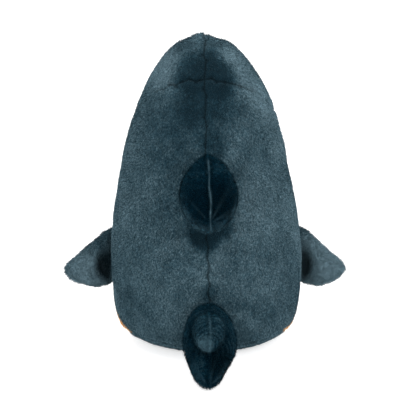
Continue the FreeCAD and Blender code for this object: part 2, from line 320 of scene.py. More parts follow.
def girth(z):
    """Half-width of the body at a height, as a share of the widest."""
    above = np.clip((z - WIDEST) / (HEIGHT - WIDEST), 0, 1)
    below = np.clip((WIDEST - z) / WIDEST, 0, 1)
    upper = (1 - above**NOSE_POWER) ** (1 / NOSE_ROUND)
    lower = (1 - (1 - FOOT_SHARE**FOOT_ROUND) * below**FOOT_ROUND) ** (1 / FOOT_ROUND)
    slack = 0.024 * bell(z, 0.1 * HEIGHT, 0.55 * HEIGHT)
    return np.where(z >= WIDEST, upper, lower) * (1 - slack)


def middle_of(z):
    """X and Y of the body's middle at a height: the snout leans forward and a little to the left."""
    return SWAY * smooth(80 * MM, 170 * MM, z), -NOSE_LEAN * (z / HEIGHT) ** 2


def skin_at(turn, z):
    """The point of the body's surface at an angle round its middle and a height."""
    x, y = middle_of(z)
    share = girth(z)
    return np.stack([x + HALF_WIDTH * share * np.cos(turn), y + HALF_DEPTH * share * np.sin(turn), z], -1)


def turn_of(points):
    x, y = middle_of(points[:, 2])
    return np.arctan2((points[:, 1] - y) / HALF_DEPTH, (points[:, 0] - x) / HALF_WIDTH)


def body_profile():
    """Heights from the tip to the base, and how far down the outline each one is, as a share."""
    z = np.concatenate([WIDEST + (HEIGHT - WIDEST) * np.cos(np.linspace(0, math.pi / 2, 300)),
                        np.linspace(WIDEST, 0, 200)[1:]])
    wide = girth(z) * HALF_WIDTH
    z = np.append(z, 0)
    wide = np.append(wide, 0)
    length = np.concatenate([[0], np.cumsum(np.hypot(np.diff(z), np.diff(wide)))])
    return z, wide / HALF_WIDTH, length / length[-1]


def sides_of(faces):
    """Every edge of the faces, once."""
    faces = np.asarray(faces)
    loops = [faces[:, [i, (i + 1) % faces.shape[1]]] for i in range(faces.shape[1])]
    return np.unique(np.sort(np.concatenate(loops), 1), axis=0)


def snap(points, edges, field, place, fixed=None):
    """Moves the nearer end of every edge that crosses a seam onto the seam, but never a fixed vertex."""
    fixed = np.zeros(len(points), bool) if fixed is None else fixed
    for _ in range(3):
        value = field(points)
        value[np.abs(value) < 0.02 * MM] = 0
        first, second = edges.T
        crossing = (value[first] * value[second] < 0) & ~(fixed[first] & fixed[second])
        first, second = first[crossing], second[crossing]
        first_is_near = (np.abs(value[first]) < np.abs(value[second])) & ~fixed[first] | fixed[second]
        near = np.unique(np.where(first_is_near, first, second))
        points[near] = place(points[near])


def on_centre(points):
    turn = np.where(turn_of(points) > 0, math.pi / 2, -math.pi / 2)
    return skin_at(turn, points[:, 2])


def on_base_seam(points):
    return skin_at(turn_of(points), np.full(len(points), BASE_SEAM))


def snout_field(points):
    return points[:, 2] - SNOUT_LEVEL - SNOUT_SLOPE * points[:, 1]


def on_snout_seam(points):
    turn = turn_of(points)
    for _ in range(12):
        z = points[:, 2] + 0.5 * (SNOUT_LEVEL + SNOUT_SLOPE * points[:, 1] - points[:, 2])
        points = skin_at(turn, z)
    return points


def belly_seam_y(x, z):
    """Y of the seam between back and belly: the front of a drum, then a slope to the back near the floor.

    The belly panel is sewn in a little crooked, so the slope is further back on the left than on the right.
    """
    drum = DRUM_Y - np.sqrt(DRUM_RADIUS**2 - (z - DRUM_LEVEL) ** 2)
    bend = DRUM_Y - math.sqrt(DRUM_RADIUS**2 - (TOE_LEVEL - DRUM_LEVEL) ** 2)
    slope = bend - np.where(x > 0, 4, 8) * MM + (TOE_LEVEL - z) * TOE_SLOPE
    return (drum + slope + np.hypot(drum - slope, 3 * MM)) / 2


def belly_field(points):
    return belly_seam_y(points[:, 0], points[:, 2]) - points[:, 1]


def on_belly_seam(points):
    z = points[:, 2]
    x, y = middle_of(z)
    across = np.clip((belly_seam_y(points[:, 0], z) - y) / (HALF_DEPTH * girth(z)), -1, 1)
    turn = np.arcsin(across)
    return skin_at(np.where(points[:, 0] < x, math.pi - turn, turn), z)


def body_panel(middles):
    """Which panel a face belongs to."""
    left = middles[:, 0] > middle_of(middles[:, 2])[0]
    panel = np.where(left, BACK_LEFT, BACK_RIGHT)
    panel = np.where(belly_field(middles) > 0, BELLY, panel)
    panel = np.where(snout_field(middles) > 0, np.where(left, SNOUT_LEFT, SNOUT_RIGHT), panel)
    return np.where(middles[:, 2] < BASE_SEAM, BASE, panel)


def body_form():
    """The stuffed body as one closed surface, with its seams."""
    level = 5
    directions, faces = ball(level)
    profile_z, profile_share, length = body_profile()
    down = np.arccos(np.clip(directions[:, 2], -1, 1)) / math.pi
    z = np.interp(down, length, profile_z)
    share = np.interp(down, length, profile_share)
    turn = np.arctan2(directions[:, 1], directions[:, 0])
    x, y = middle_of(z)
    across, deep = HALF_WIDTH * share * np.cos(turn), HALF_DEPTH * share * np.sin(turn)
    points = np.stack([x + across, y + deep, z], -1)
    edges = sides_of(faces)
    wall = z > 1 * MM
    on_wall = wall[edges].all(1)
    middle = points[edges].mean(1)
    wall_edges = edges[on_wall]
    not_belly = edges[on_wall & (belly_field(middle) < 0) | (snout_field(middle) > 0)]
    snap(points, not_belly, lambda p: p[:, 0] - middle_of(p[:, 2])[0], on_centre)
    snap(points, wall_edges, snout_field, on_snout_seam)
    snap(points, wall_edges, lambda p: p[:, 2] - BASE_SEAM, on_base_seam)
    middle = points[edges].mean(1)
    sides = edges[(snout_field(middle) < 0) & (middle[:, 2] > BASE_SEAM)]
    on_snout = np.abs(snout_field(points)) < 0.1 * MM
    on_other = on_snout | (np.abs(points[:, 2] - BASE_SEAM) < 0.1 * MM)
    snap(points, sides, belly_field, on_belly_seam, fixed=on_other)
    body = make_object("body", points, faces, body_panel(points[faces].mean(1)))
    inflate(body, pressure=2.2, cap=2.0 * MM, held=z < 1 * MM, shrink=0.025)
    modify(body, "SUBSURF", levels=2)
    dress_body_seams(body)
    return body


def dress_body_seams(body):
    """Sinks the seams, gathers the cloth beside them a little, and leaves the skin slightly uneven. It paints
    shade into the seams and a highlight onto the roll of cloth just below the base seam.

    The tip ends in a small peak, and the body bulges a little sideways just above the floor, where it rests.
    """
    mesh = body.data
    points = points_of(mesh)
    normals = normals_of(mesh)
    away = seam_distance(mesh)
    across = np.abs(points[:, 0] - SWAY)
    on_snout = (np.abs(snout_field(points)) < 6 * MM) & (across > 3 * MM)
    flank = smooth(34 * MM, 56 * MM, across) * (points[:, 1] > 0)
    fade = np.where(on_snout, 1 - 0.95 * flank, 1.0)
    near_base = np.abs(points[:, 2] - BASE_SEAM) < 4 * MM
    depth = np.where(on_snout, 1.9, np.where(near_base, 2.4, 1.1)) * fade * MM
    groove = -depth * np.exp(-(away / (1.3 * MM)))
    swell = 0.5 * MM * fade * bell(away, 4 * MM, 5 * MM)
    gather = 0.12 * MM * fade * waves(points, 4 * MM, 3) * np.exp(-away / (6 * MM))
    lumps = 0.7 * MM * waves(points, 45 * MM, 1) + 0.2 * MM * waves(points, 16 * MM, 2)
    points = points + normals * (groove + swell + gather + lumps)[:, None]
    crown = points[:, 2].max() * np.array([0, 0, 1]) + np.array([SWAY + 2.4 * MM, -NOSE_LEAN, 0])
    reach = np.hypot(points[:, 0] - crown[0], points[:, 1] - crown[1])
    near_tip = points[:, 2] > 0.8 * HEIGHT
    peak = 2.4 * MM * np.exp(-((reach / (5 * MM)) ** 1.4)) - 2.1 * MM * bell(reach, 8 * MM, 15 * MM)
    points[:, 2] += np.where(near_tip, peak, 0)
    points[:, 0] *= 1 + 0.042 * bell(points[:, 2], 9 * MM, 10 * MM)
    points[:, 1] *= 1 - 0.065 * bell(points[:, 2], 8 * MM, 3 * MM)
    points[:, 2] = np.maximum(points[:, 2], 0.0)
    set_points(mesh, points)
    # Painted shade along the seams, strongest at the base seam.
    line = np.where(on_snout, 0.9, np.where(near_base, 1.15, 0.95)) * fade
    width = np.where(near_base, 1.7, 0.8) * MM
    add_attribute(mesh, "seam", line * np.exp(-((away / width) ** 1.5)))
    # Painted highlight on the roll of cloth just below the base seam.
    painted_roll_highlight = bell(points[:, 2], 1.6 * MM, BASE_SEAM - 4 * MM) * (away < 12 * MM)
    add_attribute(mesh, "ridge", painted_roll_highlight)


# ---- fins


def along_rows(rows, share):
    """Values at a share of the way through the rows, on one smooth curve through them."""
    rows = np.asarray(rows, float)
    step = lengths(np.diff(rows[:, [0, 2]], axis=0))
    knots = np.concatenate([[0], np.cumsum(step)])
    knots /= knots[-1]
    slope = np.gradient(rows, knots, axis=0)
    index = np.clip(np.searchsorted(knots, share, side="right") - 1, 0, len(rows) - 2)
    gap = (knots[index + 1] - knots[index])[:, None]
    t = ((share - knots[index]) / gap[:, 0])[:, None]
    start, end = rows[index], rows[index + 1]
    return (
        start * (1 + 2 * t) * (1 - t) ** 2
        + slope[index] * gap * t * (1 - t) ** 2
        + end * t**2 * (3 - 2 * t)
        + slope[index + 1] * gap * t**2 * (t - 1)
    )


def lobe(rows, level, edge=1.0):
    """A stuffed lobe in its own frame: along the root, across, and out.

    Each row is (out, shift, half chord, half thickness) in millimetres, from the root to the tip. Edge above
    1 makes the seam round it sharper.
    """
    directions, faces = ball(level)
    share = 1 - np.arccos(np.clip(directions[:, 2], -1, 1)) / math.pi
    turn = np.arctan2(directions[:, 1], directions[:, 0])
    out, shift, chord, thick = along_rows(rows, share).T * MM
    across = np.abs(np.sin(turn)) ** edge * np.sign(np.sin(turn))
    points = np.stack([shift + np.maximum(chord, 0) * np.cos(turn), np.maximum(thick, 0) * across, out], -1)
    return points, faces


def fin_frame(joint):
    """Root point and the directions along the root (downwards), across, and out."""
    root = np.array(JOINTS[joint]["pos_m"], float)
    along = np.array(JOINTS[joint]["axis"], float)
    along = unit(along) * -np.sign(along[2])
    out = np.array(OUTWARDS[joint], float)
    out = unit(out - along * (out @ along))
    return root, np.stack([along, np.cross(out, along), out])


def fin_panels(local, faces):
    return (local[faces].mean(1)[:, 1] < 0).astype(int)


def snap_middle(local, faces):
    """Puts the seam of a fin on edges of its mesh."""
    snap(local, sides_of(faces), lambda p: p[:, 1].copy(), lambda p: p * (1, 0, 1))


def nothing(local):
    return np.zeros(len(local))


def finish_fin(piece, root, axes, ridge, gather, seed, shine=nothing, hollow=nothing, crease=nothing,
               rings=nothing, rim=None):
    """Gives a fin its seam ridge, the gathers beside it and a slightly uneven skin, and paints shade and
    highlights onto it.

    Shine, hollow, crease, rings and rim are functions of the fin's own coordinates: where a painted highlight
    runs along the ridge, where painted shade fills a fold, where one lobe meets another, folds round a tip,
    and where a painted highlight lies along the edge.
    """
    mesh = piece.data
    points = points_of(mesh)
    normals = normals_of(mesh)
    away = seam_distance(mesh)
    local = (points - root) @ axes.T
    out = local[:, 2]
    free = smooth(4 * MM, 14 * MM, out)
    steps = np.stack([local[:, 0], np.zeros(len(local)), np.zeros(len(local))], -1)
    line = np.abs(local[:, 1] - 0.9 * MM * waves(steps, 14 * MM, seed + 5))
    lift = ridge * bell(line, 1.1 * MM) - 0.7 * ridge * bell(line, 1.6 * MM, 3.0 * MM)
    folds = gather * waves(points, 3.6 * MM, seed) * np.exp(-away / (6 * MM))
    lumps = 0.5 * MM * waves(points, 16 * MM, seed + 1)
    middle = local[out > out.max() - 3 * MM].mean(0)
    turn = np.arctan2(local[:, 1] - middle[1], local[:, 0] - middle[0])
    reach = lengths(local - middle)
    ring = np.stack([np.cos(turn), np.sin(turn), np.zeros(len(turn))], -1) * 10 * MM
    near = smooth(1 * MM, 6 * MM, reach) * np.exp(-reach / (15 * MM))
    pleat = waves(ring, 1.9 * MM, seed + 2)
    meets, circles = crease(local), rings(local)
    rise = lift + folds + lumps + 1.6 * gather * pleat * near - 3.0 * MM * meets + 0.6 * MM * circles
    set_points(mesh, points + normals * (rise * free)[:, None])
    # Painted shade: beside the ridge, in pleat troughs, in the fold, in the crease and in the troughs of the
    # folds.
    painted_shades = (0.4 * bell(line, 1.2 * MM, 2.2 * MM) * free, 0.45 * near * (pleat < -0.1) * free,
             0.95 * hollow(local), meets, -0.8 * circles)
    add_attribute(mesh, "seam", np.max(painted_shades, axis=0))
    # Painted highlights: along the ridge, along the rim and on the pleat crests.
    width = 0.75 * MM * (1 + 0.35 * waves(points, 5 * MM, seed + 4))
    glow = shine(local) * bell(line, width)
    if rim is not None:
        glow = np.max((glow, rim(local), 0.34 * near * smooth(0.1, 0.7, pleat)), axis=0)
    add_attribute(mesh, "ridge", glow * free)


def dorsal_fin():
    """A fat thorn with its tip out and down. Its two sides meet in a ridge."""
    root, axes = fin_frame("dorsal_fin_lean")
    rows = (
        (-5, 0, 0.5, 0.5), (-4, 0, 20, 2), (0, 0, 29, 4), (5, 0.5, 33, 13),
        (11, 2, 34.5, 22.5), (20, 6, 33, 27.6), (29, 12, 27, 25.6), (37, 19.6, 18.9, 18.2),
        (43, 26.8, 11.2, 10.6), (46.6, 31.8, 4.4, 4.2), (47.6, 33.2, 0.3, 0.3),
    )
    local, faces = lobe(rows, 5, edge=1.2)
    snap_middle(local, faces)
    piece = make_object("dorsal_fin", root + local @ axes, faces, fin_panels(local, faces))
    inflate(piece, pressure=4.0, cap=3.0 * MM, held=local[:, 2] < 1 * MM, shrink=0.12)
    modify(piece, "SUBSURF", levels=1)

    # Painted highlight along the ridge, fading out at the top of the fin.
    def shine(local):
        return smooth(-29 * MM, -18 * MM, local[:, 0]) * (0.8 + 0.25 * waves(local, 6 * MM, 12))

    def rim(local):
        """A painted highlight along the lower edge, where the pile catches the light."""
        reach = np.hypot((local[:, 0] - 8 * MM) / (32 * MM), local[:, 1] / (27 * MM))
        edge = bell(reach, 0.11, 0.95) * smooth(2 * MM, 20 * MM, local[:, 0])
        return 0.32 * edge * (1 + 0.6 * waves(local, 5 * MM, 13))

    finish_fin(piece, root, axes, 0.9 * MM, 0.5 * MM, 11, shine=shine, rim=rim)
    return part_panels(piece, {0: "dorsal_fin_right_plush", 1: "dorsal_fin_left_plush"})


def tail():
    """Two lobes in the middle plane: a fat lower one along the floor, and an upper one drooping over it."""
    root, axes = fin_frame("tail_swing")
    lower = (
        (-5, 0, 0.5, 0.5), (-4, 0, 18, 2), (0, 0, 23.5, 4), (6, 0.5, 25.5, 13),
        (13, 2, 29.6, 23), (22, 8.8, 27.6, 26.2), (33, 18, 18, 22.2), (46, 25, 11.6, 17.6),
        (58, 29.5, 7.8, 12.9), (66.5, 31.8, 5.4, 8.8), (71, 33, 3.2, 5.8), (72.2, 33.2, 0.3, 0.3),
    )
    upper = (
        (6, -2, 0.5, 0.5), (8, -4, 13, 10), (16, -5.5, 16.5, 15), (26, -5.6, 16.5, 16.2),
        (36, -4, 14.5, 14.8), (44, -1, 10.5, 11.2), (50.5, 2.2, 6.2, 6.6), (54, 4.2, 2.8, 3),
        (55.4, 5, 0.3, 0.3),
    )
    parts = [lobe(rows, 4, edge=1.05) for rows in (lower, upper)]
    low_skin, high_skin = (BVHTree.FromPolygons(p.tolist(), f.tolist()) for p, f in parts)

    def crease(local):
        """1 where the two lobes meet. The crease is sunk and given painted shade."""
        gaps = [max(low_skin.find_nearest(p)[3], high_skin.find_nearest(p)[3]) for p in local]
        return bell(np.array(gaps), 2.7 * MM) * smooth(10 * MM, 18 * MM, local[:, 2])

    def rings(local):
        """Folds round the end of the upper lobe, with painted shade in their troughs."""
        reach = lengths(local - np.array([1.5 * MM, 0, 52 * MM]))
        on_upper = smooth(20 * MM, 10 * MM, local[:, 0]) * smooth(3 * MM, 9 * MM, local[:, 2])
        fold = np.sin(reach / (0.66 * MM) + 1.2 * waves(local, 9 * MM, 24))
        return on_upper * fold * (0.6 + 0.4 * waves(local, 12 * MM, 25)) * np.exp(-reach / (50 * MM))

    # Painted highlight along the ridge, strong on the upper lobe and faint near the lower lobe's tip.
    def shine(local):
        upper_side = smooth(12 * MM, 4 * MM, local[:, 0]) * smooth(26 * MM, 38 * MM, local[:, 2])
        lower_side = smooth(20 * MM, 26 * MM, local[:, 0]) * smooth(36 * MM, 46 * MM, local[:, 2])
        return 0.6 * upper_side + 0.12 * lower_side

    def rim(local):
        """Painted highlights on the folds round the upper lobe, and painted light on its broad lit side."""
        gap = lengths(local - np.array([3 * MM, -8 * MM, 46 * MM]))
        lit = 0.42 * bell(gap, 7 * MM) * (local[:, 0] < 12 * MM)
        return np.maximum(lit, 0.42 * np.maximum(rings(local), 0))

    points = np.concatenate([p for p, _ in parts])
    faces = np.concatenate([parts[0][1], parts[1][1] + len(parts[0][0])])
    piece = make_object("tail", points, faces)
    modify(piece, "REMESH", mode="VOXEL", voxel_size=2.2 * MM, use_smooth_shade=True)
    modify(piece, "SMOOTH", iterations=2, factor=0.5)
    local = points_of(piece.data)
    squares = [list(f.vertices) for f in piece.data.polygons]
    snap_middle(local, squares)
    panels = fin_panels(local, np.asarray(squares))
    local[:, 1] -= 1.8 * MM * smooth(28 * MM, 56 * MM, local[:, 2])
    bpy.data.objects.remove(piece)
    piece = make_object("tail", root + local @ axes, squares, panels)
    inflate(piece, pressure=4.0, cap=2.5 * MM, held=local[:, 2] < 1 * MM, shrink=0.12)
    modify(piece, "SUBSURF", levels=1)
    finish_fin(piece, root, axes, 0.6 * MM, 0.35 * MM, 21, shine=shine, crease=crease, rings=rings, rim=rim)
    lifted = points_of(piece.data)
    lifted[:, 2] = np.maximum(lifted[:, 2], 0.6 * MM)
    set_points(piece.data, lifted)
    return part_panels(piece, {0: "tail_right_plush", 1: "tail_left_plush"})


def pectoral_fin(word, side):
    """A lightly stuffed flipper. Its back face dips beside the body and then swells to a rounded ridge."""
    root, axes = fin_frame(f"pectoral_{word}_flap")
    rows = (
        (-6, 2, 0.5, 0.5), (-5, 2, 20, 1.6), (0, 2.2, 28.5, 3.2), (6, 3.8, 29.4, 7),
        (14, 7.8, 27.6, 10), (21, 11.4, 24.9, 11.8), (28, 15.5, 20.7, 11), (35, 19.4, 15.8, 8.8),
        (41.5, 21.9, 10.5, 6), (46.2, 23.1, 5.1, 3.2), (47.6, 23.4, 0.3, 0.3),
    )
    rows = [(out * (1 if side > 0 or out < 14 else 0.95), *rest) for out, *rest in rows]
    local, faces = lobe(rows, 5, edge=1.1)
    snap_middle(local, faces)
    to_back = np.sign(axes[1][1])

    def hollow(local):
        """1 in the fold between the fin's back and the body, and 0 elsewhere.
        The fold is dented and given painted shade.
        """
        along = (local[:, 0] - 11.5 * MM) / (19.5 * MM)
        out = (local[:, 2] - 2 * MM) / ((18.5 if side > 0 else 14) * MM)
        inside = 1 - smooth(0.50, 1.06, np.hypot(along, out))
        low = 0.3 + 0.7 * smooth(-8 * MM, 12 * MM, local[:, 0])
        depth = low * inside * smooth(-3 * MM, 2 * MM, local[:, 2])
        return np.where(local[:, 1] * to_back > -6 * MM, depth, 0)

    rear = local[:, 1] * to_back > 0
    local[:, 1] -= to_back * rear * hollow(local) * (0.9 * np.abs(local[:, 1]) + 4.5 * MM)
    piece = make_object(f"pectoral_fin_{word}", root + local @ axes, faces, fin_panels(local, faces))
    inflate(piece, pressure=2.0, cap=1.5 * MM, held=local[:, 2] < 16 * MM, shrink=0.06)
    modify(piece, "SUBSURF", levels=1)
    finish_fin(piece, root, axes, 0.3 * MM, 0.12 * MM, 31 + side, hollow=hollow)
    first, second = ("back", "front") if to_back > 0 else ("front", "back")
    names = {0: f"pectoral_fin_{word}_{first}_plush", 1: f"pectoral_fin_{word}_{second}_plush"}
    return part_panels(piece, names)


# ---- materials


class Graph:
    """A small helper that adds and links shader nodes."""

    def __init__(self, name):
        self.material = bpy.data.materials.new(name)
        self.material.use_nodes = True
        self.tree = self.material.node_tree
        self.tree.nodes.clear()
        self.where = self.add("ShaderNodeTexCoord").outputs["Object"]

    def add(self, kind, inputs=None, **settings):
        node = self.tree.nodes.new(kind)
        for key, value in settings.items():
            setattr(node, key, value)
        for key, value in (inputs or {}).items():
            socket = node.inputs[key]
            if isinstance(value, bpy.types.NodeSocket):
                self.tree.links.new(value, socket)
            else:
                socket.default_value = (*value, 1) if socket.type == "RGBA" and len(value) == 3 else value
        return node

    def maths(self, operation, first, second=0.0):
        return self.add("ShaderNodeMath", {0: first, 1: second}, operation=operation).outputs[0]

    def vectors(self, operation, inputs):
        return self.add("ShaderNodeVectorMath", inputs, operation=operation)

    def about_half(self, value, gain):
        """How far a value is from a half, times the gain."""
        return self.maths("MULTIPLY", self.maths("SUBTRACT", value, 0.5), gain)

    def noise(self, scale, detail=3.0, roughness=0.55, distortion=0.0, where=None):
        inputs = {"Vector": where or self.where, "Scale": scale, "Detail": detail, "Roughness": roughness,
                  "Distortion": distortion}
        return self.add("ShaderNodeTexNoise", inputs).outputs["Fac"]

    def wave(self, scale, distortion):
        inputs = {"Vector": self.where, "Scale": scale, "Distortion": distortion}
        return self.add("ShaderNodeTexWave", inputs).outputs["Fac"]

    def between(self, share, low, high):
        return self.add("ShaderNodeMapRange", {"Value": share, "To Min": low, "To Max": high}).outputs[0]

    def ramp(self, value, stops):
        node = self.add("ShaderNodeValToRGB", {"Fac": value})
        cells = node.color_ramp.elements
        while len(cells) < len(stops):
            cells.new(0.5)
        for cell, (place, colour) in zip(cells, stops):
            cell.position = place
            cell.color = (*colour, 1)
        return node.outputs["Color"]

    def mix(self, share, first, second):
        return self.add("ShaderNodeMix", {0: share, 6: first, 7: second}, data_type="RGBA").outputs[2]

    def bump(self, height, strength, distance):
        inputs = {"Height": height, "Strength": strength, "Distance": distance}
        return self.add("ShaderNodeBump", inputs).outputs[0]

    def finish(self, inputs):
        """The finished material: a principled surface with these inputs."""
        shader = self.add("ShaderNodeBsdfPrincipled", inputs)
        self.add("ShaderNodeOutputMaterial", {"Surface": shader.outputs[0]})
        return self.material


def spot_sum(graph, spots):
    """The strength of the brushed nap patches and of the painted light and shade at a place."""
    total = None
    for centre, reach, strength in spots:
        centre, reach = [c * MM for c in centre], reach * MM
        gap = graph.vectors("DISTANCE", {0: graph.where, 1: centre}).outputs["Value"]
        inputs = {"Value": gap, "From Min": 0.25 * reach, "From Max": reach, "To Min": strength, "To Max": 0}
        soft = graph.add("ShaderNodeMapRange", inputs, interpolation_type="SMOOTHSTEP").outputs[0]
        total = soft if total is None else graph.maths("ADD", total, soft)
    return total


def nap_value(graph, patch, grain, spots):
    """How light the nap is at a place: broad brushed patches, small tufts and single fibres, about 0.5, with
    the spots of brushed nap and painted light and shade added.
    """
    stretched = graph.vectors("MULTIPLY", {0: graph.where, 1: (1.0, 1.0, 0.75)}).outputs[0]
    broad = graph.noise(15.0, 2.0, 0.5, 0.8)
    tufts = graph.noise(95.0, 3.0, 0.6, 0.4)
    fibres = graph.noise(700.0, 2.0, 0.7, where=stretched)
    value = graph.about_half(broad, patch)
    value = graph.maths("ADD", value, graph.about_half(tufts, 0.42 * patch))
    value = graph.maths("ADD", value, graph.about_half(fibres, grain))
    # The spots add painted light and shade as well as brushed nap.
    if spots:
        value = graph.maths("ADD", value, spot_sum(graph, spots))
    return graph.maths("ADD", value, 0.5), fibres, tufts


def plush(name, stops, sheen, sheen_tint, spots=(), patch=1.0, grain=0.9, hair=False):
    """Short-pile plush. The hair version is for the fibres themselves, with painted shade towards their
    roots and painted light at their tips.
    """
    graph = Graph(name + ("_pile" if hair else ""))
    value, fibres, tufts = nap_value(graph, patch, grain, spots)
    if hair:
        own = graph.add("ShaderNodeHairInfo").outputs["Random"]
        value = graph.maths("ADD", value, graph.about_half(own, 0.8))
    colour = graph.ramp(value, stops)
    # Painted shade: the seam attribute darkens seam grooves, pleat troughs, folds and creases.
    seam = graph.add("ShaderNodeAttribute", attribute_name="seam").outputs["Fac"]
    colour = graph.mix(graph.maths("MULTIPLY", seam, 0.85), colour, tuple(0.15 * c for c in stops[0][1]))
    # Painted highlight: the ridge attribute lightens ridges, rims, pleat crests and lit sides.
    ridge = graph.add("ShaderNodeAttribute", attribute_name="ridge").outputs["Fac"]
    colour = graph.mix(graph.maths("MULTIPLY", ridge, 0.9), colour, PAINTED_HIGHLIGHT)
    inputs = {"Specular IOR Level": 0.12, "Specular Tint": sheen_tint, "Sheen Weight": sheen,
              "Sheen Roughness": 0.4, "Sheen Tint": sheen_tint}
    if hair:
        # Painted shade towards the root of each fibre and painted light towards its tip.
        reach = graph.add("ShaderNodeHairInfo").outputs["Intercept"]
        shaded_along_fibre = graph.vectors("SCALE", {0: colour, "Scale": graph.between(reach, 0.45, 1.6)}).outputs[0]
        inputs |= {"Base Color": shaded_along_fibre, "Roughness": 0.65, "Sheen Weight": 0.3 * sheen}
    else:
        height = graph.maths("ADD", graph.maths("MULTIPLY", fibres, 0.6), tufts)
        rough = graph.between(fibres, 0.78, 0.98)
        inputs |= {"Base Color": colour, "Roughness": rough, "Normal": graph.bump(height, 0.6, 0.9 * MM)}
    return graph.finish(inputs)


def thread(name, colour, light):
    """Satin-stitch thread: a slight twist and a soft gloss."""
    graph = Graph(name)
    twist = graph.wave(900.0, 2.0)
    tone = graph.mix(graph.noise(400.0), colour, light)
    return graph.finish({"Base Color": tone, "Roughness": 0.5, "Normal": graph.bump(twist, 0.4, 0.2 * MM),
                         "Specular IOR Level": 0.2})


def ribbon_material():
    graph = Graph("label_satin")
    weave = graph.wave(700.0, 1.0)
    tone = graph.mix(weave, (0.68, 0.68, 0.66), (0.82, 0.82, 0.8))
    return graph.finish({"Base Color": tone, "Roughness": 0.35, "Normal": graph.bump(weave, 0.3, 0.1 * MM)})


# The colour of the painted highlights.
PAINTED_HIGHLIGHT = (0.040, 0.074, 0.092)
SLATE_STOPS = (
    (0.0, (0.002, 0.0095, 0.015)), (0.18, (0.0064, 0.0215, 0.0315)), (0.35, (0.0145, 0.035, 0.0475)),
    (0.6, (0.031, 0.059, 0.074)), (1.0, (0.09, 0.143, 0.17)),
)
NAVY_STOPS = (
    (0.0, (0.0001, 0.001, 0.0022)), (0.45, (0.0003, 0.0038, 0.008)),
    (0.75, (0.0012, 0.0105, 0.019)), (0.9, (0.008, 0.028, 0.04)), (1.0, (0.028, 0.058, 0.075)),
)
TAN_STOPS = (
    (0.0, (0.33, 0.17, 0.06)), (0.4, (0.5, 0.28, 0.11)),
    (0.7, (0.62, 0.37, 0.16)), (1.0, (0.78, 0.53, 0.28)),
)
# Patches where the brushed nap looks lighter or darker, mixed with painted light and shade: painted shadow
# under the dorsal fin and in the crease above it, painted shade on the upper left and near the floor, and
# painted light along the flanks and on the pectoral fins. Each is (centre, reach, strength), the first two in
# millimetres.
SLATE_NAP_AND_PAINTED_LIGHT = (
    ((40, 3, 268), 32, 0.50), ((-36, 12, 264), 40, 0.36), ((-22, 4, 288), 18, 0.30),
    ((-12, 30, 265), 26, -0.90), ((13, 26, 270), 30, -0.55), ((4, 46, 246), 38, -0.55),
    ((-8, 62, 211), 22, -0.50), ((-4, 20, 288), 18, -0.35), ((-56, 8, 238), 34, 0.40),
    ((-70, 10, 196), 32, 0.34), ((34, 52, 216), 44, -0.28), ((-11, 62, 199), 9, -0.55),
    ((-17, 62, 196), 8, -0.40), ((12, 74, 130), 18, -0.40), ((-13, 74, 132), 18, -0.45),
    ((3, 73, 121), 18, -0.85), ((0, 82, 70), 14, -0.30), ((90, 5, 130), 50, 0.14),
    ((-90, 5, 120), 50, 0.14), ((0, 66, 14), 75, -0.16), ((75, 40, 165), 55, 0.16),
    ((88, 16, 85), 55, 0.14), ((-60, 50, 150), 55, 0.20), ((-60, 55, 65), 60, 0.12),
    ((122, -6, 66), 36, 0.52), ((-114, -4, 76), 42, 0.86),
)
# The navy spots are mostly painted light and shade: painted light on the upper lobe's end, the tail's lower
# left, and the dorsal fin's lower tip and left side; painted shadow under the upper lobe, and painted shade
# on the dorsal fin's right half.
NAVY_NAP_AND_PAINTED_LIGHT = (
    ((10, 136, 35), 20, 0.84), ((0, 112, 52), 26, 0.14), ((-13, 128, 18), 22, -0.60),
    ((13, 138, 12), 22, 0.30), ((0, 108, 138), 20, 0.50), ((24, 98, 150), 20, 0.26),
    ((-14, 108, 168), 30, -0.30),
)

LOOKS = {
    "slate_plush": {"stops": SLATE_STOPS, "sheen": 0.55, "sheen_tint": (0.42, 0.74, 0.90),
                    "spots": SLATE_NAP_AND_PAINTED_LIGHT, "grain": 1.9},
    "navy_plush": {"stops": NAVY_STOPS, "sheen": 0.30, "sheen_tint": (0.03, 0.33, 0.50),
                   "spots": NAVY_NAP_AND_PAINTED_LIGHT, "patch": 1.2, "grain": 1.4},
    "tan_plush": {"stops": TAN_STOPS, "sheen": 0.2, "sheen_tint": (1.0, 0.85, 0.65), "patch": 0.8},
}


# ---- pile


